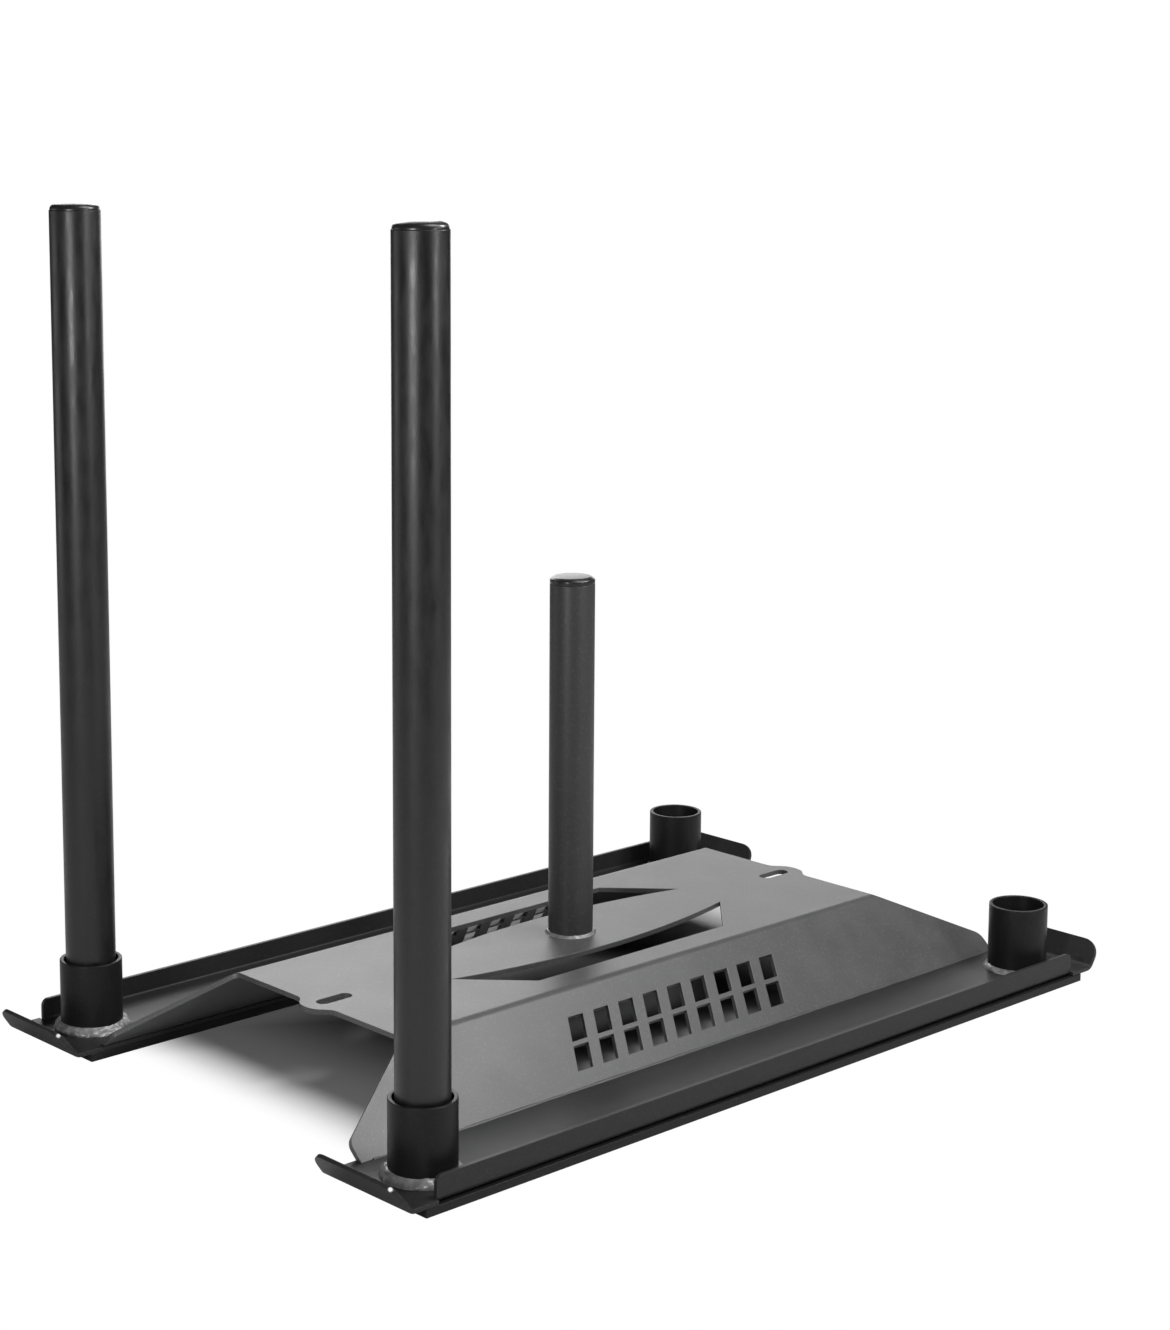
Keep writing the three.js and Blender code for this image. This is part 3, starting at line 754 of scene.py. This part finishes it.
def node(tree, kind, values=None, **settings):
    """A node with these settings, and with these values set on its inputs."""
    made = tree.nodes.new(kind)
    for setting, value in settings.items():
        setattr(made, setting, value)
    for label, value in (values or {}).items():
        made.inputs[label].default_value = value
    return made


def math_node(tree, operation, *operands):
    """The result of a Math node, whose operands are numbers or other nodes' outputs."""
    made = node(tree, "ShaderNodeMath", operation=operation)
    for socket, source in zip(made.inputs, operands):
        if isinstance(source, (int, float)):
            socket.default_value = source
        else:
            tree.links.new(source, socket)
    return made.outputs[0]


def mixed(tree, factor, first, second):
    """A colour mixed from two, each a fixed colour or another node's output."""
    made = node(tree, "ShaderNodeMix", data_type="RGBA")
    tree.links.new(factor, made.inputs["Factor"])
    for label, source in (("A", first), ("B", second)):
        if isinstance(source, tuple):
            made.inputs[label].default_value = source
        else:
            tree.links.new(source, made.inputs[label])
    return made.outputs["Result"]


# %% Group: the powder's grain
SPECK_SCALE, SPECK_FROM, SPECK_FULL = 0.45, 0.56, 0.72
STREAK_SCALE, DRAWN_OUT = 110.0, (1, 1, 0.3)

grain_group, entry, leave = group_of(
    "powder_grain",
    {"Pebble Scale": 900.0, "Cloud Scale": 14.0},
    ["Height", "Speck", "Cloud", "Streak"],
)
place_node = node(grain_group, "ShaderNodeTexCoord")
pebbles = node(grain_group, "ShaderNodeTexNoise", {"Detail": 2.0, "Roughness": 0.55})
specks = node(grain_group, "ShaderNodeTexNoise", {"Detail": 1.0})
clouds = node(grain_group, "ShaderNodeTexNoise", {"Detail": 4.0})
streaks = node(grain_group, "ShaderNodeTexNoise", {"Scale": STREAK_SCALE, "Detail": 4.0})
drawn_out = node(grain_group, "ShaderNodeMapping", {"Scale": DRAWN_OUT})
speck_size = math_node(grain_group, "MULTIPLY", entry.outputs["Pebble Scale"], SPECK_SCALE)
speck_range = node(
    grain_group, "ShaderNodeMapRange", {"From Min": SPECK_FROM, "From Max": SPECK_FULL}
)
link = grain_group.links.new
for texture in (pebbles, specks, clouds, drawn_out):
    link(place_node.outputs["Object"], texture.inputs["Vector"])
link(drawn_out.outputs["Vector"], streaks.inputs["Vector"])
link(entry.outputs["Pebble Scale"], pebbles.inputs["Scale"])
link(speck_size, specks.inputs["Scale"])
link(entry.outputs["Cloud Scale"], clouds.inputs["Scale"])
link(specks.outputs["Fac"], speck_range.inputs["Value"])
link(pebbles.outputs["Fac"], leave.inputs["Height"])
link(speck_range.outputs["Result"], leave.inputs["Speck"])
link(clouds.outputs["Fac"], leave.inputs["Cloud"])
link(streaks.outputs["Fac"], leave.inputs["Streak"])
print("grain gives", [socket.name for socket in leave.inputs if socket.name])

# %% Group: thin edges, paler for thin powder and for a painted highlight
EDGE_WIDTH, PATCH_SCALE = 1.2 * MM, 60.0
EDGE_FROM, EDGE_FULL = 0.985, 0.86

edge_group, entry, leave = group_of(
    "thin_and_highlit_edges", {"Width": EDGE_WIDTH, "Patchiness": PATCH_SCALE}, ["Mask"]
)
rounding = node(edge_group, "ShaderNodeBevel", samples=4)
facing = node(edge_group, "ShaderNodeNewGeometry")
agree = node(edge_group, "ShaderNodeVectorMath", operation="DOT_PRODUCT")
edge_range = node(
    edge_group, "ShaderNodeMapRange", {"From Min": EDGE_FROM, "From Max": EDGE_FULL}
)
place_node = node(edge_group, "ShaderNodeTexCoord")
patches = node(edge_group, "ShaderNodeTexNoise")
link = edge_group.links.new
link(entry.outputs["Width"], rounding.inputs["Radius"])
link(rounding.outputs["Normal"], agree.inputs[0])
link(facing.outputs["Normal"], agree.inputs[1])
link(agree.outputs["Value"], edge_range.inputs["Value"])
link(place_node.outputs["Object"], patches.inputs["Vector"])
link(entry.outputs["Patchiness"], patches.inputs["Scale"])
patchy = math_node(edge_group, "MULTIPLY", edge_range.outputs["Result"], patches.outputs["Fac"])
link(patchy, leave.inputs["Mask"])
print("groups:", grain_group.name, edge_group.name)

# %% [markdown]
# Each finish is then one Principled shader fed by those groups. Powder coat is paint, so it
# isn't metallic: its gloss comes from a clear, slightly uneven surface. The deck is written
# a little greyer than the frame. The tall poles are glossier, and mottled in streaks along
# their length, where hands and sockets have rubbed them.

# %% A finish in one function
CLOUD_SPREAD = 0.12
FLECK_LIFT, FLECK_SHARE = 1.7, 0.5


def tint(colour, factor):
    """An opaque colour, made paler or darker by a factor."""
    return (*[part * factor for part in colour], 1)


def finish_of(
    name, colour, roughness, grain_depth, pebble=900.0, cloud=14.0,
    edge_wear_and_highlight_lift=2.2, gloss=0.5, uneven=0.14, streak=0.0,
):
    """A coated or moulded surface: colour, roughness and grain that vary over the piece."""
    material = bpy.data.materials.new(name)
    material.use_nodes = True
    tree = material.node_tree
    shader = tree.nodes["Principled BSDF"]
    shader.inputs["Specular IOR Level"].default_value = gloss
    scales = {"Pebble Scale": pebble, "Cloud Scale": cloud}
    grain = node(tree, "ShaderNodeGroup", scales, node_tree=grain_group)
    edges = node(tree, "ShaderNodeGroup", node_tree=edge_group)
    spray = grain.outputs["Streak" if streak else "Cloud"]
    tones = mixed(tree, spray, tint(colour, 1 - uneven), tint(colour, 1 + uneven))
    fleck = math_node(tree, "MULTIPLY", grain.outputs["Speck"], FLECK_SHARE)
    flecked = mixed(tree, fleck, tones, tint(colour, FLECK_LIFT))
    # Paler edges: partly powder pulled thin, partly a painted highlight for the light that edges
    # catch.
    worn_and_highlit = mixed(tree, edges.outputs["Mask"], flecked, tint(colour, edge_wear_and_highlight_lift))
    tree.links.new(worn_and_highlit, shader.inputs["Base Color"])
    lowest = roughness - CLOUD_SPREAD / 2
    shine = math_node(tree, "MULTIPLY_ADD", grain.outputs["Cloud"], CLOUD_SPREAD, lowest)
    if streak:
        rubbed = math_node(tree, "MULTIPLY_ADD", grain.outputs["Streak"], streak, -streak / 2)
        shine = math_node(tree, "ADD", shine, rubbed)
    tree.links.new(shine, shader.inputs["Roughness"])
    bump = node(tree, "ShaderNodeBump", {"Strength": 1.0, "Distance": grain_depth})
    tree.links.new(grain.outputs["Height"], bump.inputs["Height"])
    tree.links.new(bump.outputs["Normal"], shader.inputs["Normal"])
    return material


# %% The six finishes
BLACK = (0.009, 0.009, 0.0095)
deck_coat = finish_of(
    "deck_powder", (0.060, 0.060, 0.061), roughness=0.42, grain_depth=0.10 * MM,
    cloud=24, uneven=0.30,
)
frame_coat = finish_of(
    "frame_powder", BLACK, roughness=0.42, grain_depth=0.10 * MM, gloss=0.2
)
pole_coat = finish_of(
    "pole_powder", BLACK, roughness=0.40, grain_depth=0.08 * MM,
    pebble=700, uneven=0.5, streak=0.40,
)
post_coat = finish_of(
    "post_powder", (0.036, 0.036, 0.037), roughness=0.42, grain_depth=0.08 * MM,
    pebble=700, gloss=0.35,
)
# The beads' pale grey, twenty times the frame's black, is a painted highlight for the light on
# their lobes.
bead_coat_with_painted_highlight = finish_of(
    "bead_powder_with_painted_highlight", (0.180, 0.180, 0.183), roughness=0.30, grain_depth=0.14 * MM,
    pebble=400, cloud=120, uneven=0.8,
)
# The moulded caps have no powder, so their paler edges are a painted highlight alone.
cap_plastic = finish_of(
    "cap_moulding", (0.014, 0.014, 0.015), roughness=0.30, grain_depth=0.03 * MM,
    pebble=1500, edge_wear_and_highlight_lift=1.4,
)
finishes = (deck_coat, frame_coat, pole_coat, post_coat, bead_coat_with_painted_highlight, cap_plastic)
print("finishes:", [finish.name for finish in finishes])

# %% [markdown]
# On the rim of each rear nose the photograph shows one small bright spot. It is painted
# near-white, a painted highlight for the glint there, which may also be a bare mark where a
# hook held the tray while the powder was baked. A dab of geometry would stand proud of the
# edge, so the mark is painted: a group measures how far a point lies from the spot's place,
# with a little noise to make its outline ragged.

# %% Group: hook marks painted as glints, and the trays' own finish
HOOK_PLACES = [(-481.4, -291.8, 31.8), (-481.4, 196.2, 31.8)]
HOOK_INNER, HOOK_OUTER, HOOK_RAGGED = 1.6 * MM, 3.2 * MM, 1.2 * MM
CHIP_SCALE, BARE_GLINT_WHITE = 900.0, (0.86, 0.86, 0.85, 1)

hook_glint_group, entry, leave = group_of("hook_marks_painted_glint", {"Ragged": HOOK_RAGGED}, ["Mask"])
link = hook_glint_group.links.new
place_node = node(hook_glint_group, "ShaderNodeTexCoord")
chips = node(hook_glint_group, "ShaderNodeTexNoise", {"Scale": CHIP_SCALE})
link(place_node.outputs["Object"], chips.inputs["Vector"])
distances = []
for spot in HOOK_PLACES:
    away = node(hook_glint_group, "ShaderNodeVectorMath", operation="DISTANCE")
    away.inputs[1].default_value = [part * MM for part in spot]
    link(place_node.outputs["Object"], away.inputs[0])
    distances.append(away.outputs["Value"])
nearest = math_node(hook_glint_group, "MINIMUM", *distances)
ragged = math_node(hook_glint_group, "MULTIPLY", chips.outputs["Fac"], entry.outputs["Ragged"])
fade = node(hook_glint_group, "ShaderNodeMapRange", {"From Min": HOOK_OUTER, "From Max": HOOK_INNER})
link(math_node(hook_glint_group, "ADD", nearest, ragged), fade.inputs["Value"])
link(fade.outputs["Result"], leave.inputs["Mask"])

tray_coat = finish_of(
    "tray_powder", (0.021, 0.021, 0.0215), roughness=0.42, grain_depth=0.10 * MM, gloss=0.2
)
tree = tray_coat.node_tree
marks = node(tree, "ShaderNodeGroup", node_tree=hook_glint_group)
colour_in = tree.nodes["Principled BSDF"].inputs["Base Color"]
coated = colour_in.links[0].from_socket
# The near-white spot is a painted highlight for the glint on each rear nose's rim.
tree.links.new(mixed(tree, marks.outputs["Mask"], coated, BARE_GLINT_WHITE), colour_in)
print("hook marks at", HOOK_PLACES)

# %% [markdown]
# ## Putting it together
#
# Every new piece is told three things: which moving body it rides on, which plain piece of
# the frame it stands for, and which finish it takes. The poles ride on their own bodies, so
# they lift out with their caps and foot plugs.

# %% Give each piece its body, its twin and its finish
def fit(piece, body, material, stands_for):
    """Puts a finished piece on its body, in the place of its plain twin."""
    piece.data.materials.clear()
    piece.data.materials.append(material)
    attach(piece, body)
    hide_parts(stands_for)


put_down()
fit(deck, "sled", deck_coat, "deck_plate")
for side in ("left", "right"):
    fit(trays[side], "sled", tray_coat, f"runner_tray_{side}")
    fit(skids[side], "sled", frame_coat, f"skid_plate_{side}")
    fit(seams[side], "sled", deck_coat, f"deck_foot_weld_{side}")
    fit(poles[side], f"pole_{side}", pole_coat, f"push_pole_{side}")
    fit(caps[side], f"pole_{side}", cap_plastic, f"pole_cap_{side}")
    fit(foot_plugs[side], f"pole_{side}", cap_plastic, f"pole_foot_plug_{side}")
for place in places:
    fit(sockets[place], "sled", frame_coat, f"socket_{place}")
    fit(beads[place], "sled", bead_coat_with_painted_highlight, f"socket_weld_{place}")
fit(post, "sled", post_coat, "plate_post")
fit(post_cap, "sled", cap_plastic, "plate_post_cap")
fit(post_bead, "sled", bead_coat_with_painted_highlight, "plate_post_weld")
for cad_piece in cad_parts.values():
    cad_piece.data.materials.clear()
    cad_piece.data.materials.append(frame_coat)

# %% [markdown]
# ## Floor, light and background
#
# The sled stands on a pale floor that runs out to white. Its own colour stays plain, so it
# throws an ordinary amount of light back up, and only the camera sees it otherwise. To the
# camera the floor under the deck carries a painted shade, darkest well inside the deck's
# outline, so that the slots read as black, and just outside the deck it turns to pure white,
# so that the shadow shows only in the mouth of the tunnel.

# %% Floor: how far a point lies outside the deck
FLOOR_RADIUS, FLOOR_DROP = 14, 0.2 * MM
UNDER_DECK, SIDES_STEEPER = (0.325, 0.20, 0), (1, 1.5, 0)

put_down()
bpy.ops.mesh.primitive_circle_add(
    vertices=96, radius=FLOOR_RADIUS, fill_type="NGON", location=(0, 0, -FLOOR_DROP)
)
floor = bpy.context.object
floor.name = "studio_floor"
floor_paint = bpy.data.materials.new("pale_floor")
floor_paint.use_nodes = True
tree = floor_paint.node_tree
tree.nodes.remove(tree.nodes["Principled BSDF"])
place_node = node(tree, "ShaderNodeTexCoord")
mirrored = node(tree, "ShaderNodeVectorMath", operation="ABSOLUTE")
beyond = node(tree, "ShaderNodeVectorMath", operation="SUBTRACT")
beyond.inputs[1].default_value = UNDER_DECK
steeper = node(tree, "ShaderNodeVectorMath", operation="MULTIPLY")
steeper.inputs[1].default_value = SIDES_STEEPER
parts = node(tree, "ShaderNodeSeparateXYZ")
tree.links.new(place_node.outputs["Object"], mirrored.inputs[0])
tree.links.new(mirrored.outputs["Vector"], beyond.inputs[0])
tree.links.new(beyond.outputs["Vector"], steeper.inputs[0])
tree.links.new(steeper.outputs["Vector"], parts.inputs["Vector"])
outside = math_node(tree, "MAXIMUM", parts.outputs["X"], parts.outputs["Y"])
print("floor radius:", FLOOR_RADIUS, "m")

# %% Floor: its paint, with painted shade under the deck, and white beyond the deck
PAINTED_SHADE_FROM, PAINTED_SHADE_DEEPEST, PAINTED_SHADE_AT_MOUTH = -0.16, 0.04, 0.45
WHITE_FROM, FLOOR_TONE = 0.09, (0.72, 0.72, 0.72, 1)

# To the camera the floor under the deck is a painted shade: darkest well inside the deck, paler
# towards its edges.
ray = node(tree, "ShaderNodeLightPath")
deep = node(
    tree, "ShaderNodeMapRange",
    {"From Min": PAINTED_SHADE_FROM, "From Max": 0.0, "To Min": PAINTED_SHADE_DEEPEST, "To Max": PAINTED_SHADE_AT_MOUTH},
    interpolation_type="SMOOTHSTEP",
)
far = node(
    tree, "ShaderNodeMapRange", {"From Min": 0.0, "From Max": WHITE_FROM},
    interpolation_type="SMOOTHSTEP",
)
tree.links.new(outside, deep.inputs["Value"])
tree.links.new(outside, far.inputs["Value"])
paint = mixed(tree, ray.outputs["Is Camera Ray"], FLOOR_TONE, deep.outputs["Result"])
white_share = math_node(tree, "MULTIPLY", far.outputs["Result"], ray.outputs["Is Camera Ray"])
matte = node(tree, "ShaderNodeBsdfDiffuse")
glow = node(tree, "ShaderNodeEmission")
blend = node(tree, "ShaderNodeMixShader")
tree.links.new(paint, matte.inputs["Color"])
tree.links.new(white_share, blend.inputs["Fac"])
tree.links.new(matte.outputs["BSDF"], blend.inputs[1])
tree.links.new(glow.outputs["Emission"], blend.inputs[2])
tree.links.new(blend.outputs["Shader"], tree.nodes["Material Output"].inputs["Surface"])
floor.data.materials.append(floor_paint)
print("floor turns white", WHITE_FROM, "m outside the deck")

# %% [markdown]
# One big lamp could light the sled, but satin black shows mostly what it mirrors, so each
# face is given its own. A key hangs overhead. A softbox at the right glares off the near
# slope, most at its left end, and two softboxes behind lay the pale sheen on the flat. Two
# strips, left and right of the camera, draw the two soft lines down the poles.

# %% Lamps
def lamp(name, place, target, power, size):
    """A rectangular lamp of this width and height, aimed at a target."""
    bpy.ops.object.light_add(type="AREA", location=place)
    made = bpy.context.object
    made.name = name
    made.data.shape = "RECTANGLE"
    made.data.size, made.data.size_y = size
    made.data.energy = power
    aim = Vector(target) - Vector(place)
    made.rotation_euler = aim.to_track_quat("-Z", "Y").to_euler()


MID_SLED, DECK_MIDDLE = (0, 0, 0.3), (0, 0, 0.1)
put_down()
lamp("key_softbox", (0.42, -0.90, 2.62), (-0.05, 0, 0.3), power=34, size=(1.2, 1.2))
lamp("slope_softbox", (0.83, -0.64, 1.63), (-0.30, -0.16, 0.05), power=16, size=(0.4, 0.4))
lamp("side_strip", (1.10, -1.91, 1.68), MID_SLED, power=8, size=(0.45, 1.2))
lamp("back_softbox", (1.02, 1.95, 1.68), MID_SLED, power=19, size=(1.1, 1.1))
lamp("low_back_softbox", (1.70, 1.97, 0.72), DECK_MIDDLE, power=16, size=(2.2, 1.1))
lamp("left_softbox", (-1.75, 1.92, 0.66), MID_SLED, power=5, size=(1.2, 1.1))
lamp("left_strip", (-2.42, -0.93, 1.00), (-0.40, -0.1, 0.80), power=28, size=(0.40, 0.5))
lamp("right_strip", (0.31, -2.22, 1.05), (-0.40, -0.25, 0.80), power=11, size=(0.25, 0.5))

# %% [markdown]
# Behind everything is plain white. A white room that also lit the sled would wash the
# black coat out to grey, so only the camera sees the white, and every other ray finds a
# faint glow that keeps the deepest shadows from closing up.

# %% Background
BACKGROUND_LEVEL, ROOM_GLOW = 1.0, 0.05
world = bpy.data.worlds.new("studio")
bpy.context.scene.world = world
world.use_nodes = True
tree = world.node_tree
background = tree.nodes["Background"]
background.inputs["Color"].default_value = (1, 1, 1, 1)
ray = node(tree, "ShaderNodeLightPath")
levels = {"A": ROOM_GLOW, "B": BACKGROUND_LEVEL}
camera_level = node(tree, "ShaderNodeMix", levels, data_type="FLOAT")
tree.links.new(ray.outputs["Is Camera Ray"], camera_level.inputs["Factor"])
tree.links.new(camera_level.outputs["Result"], background.inputs["Strength"])
bpy.context.scene.view_settings.view_transform = "Standard"
print("background", BACKGROUND_LEVEL, "for the camera, room glow", ROOM_GLOW)
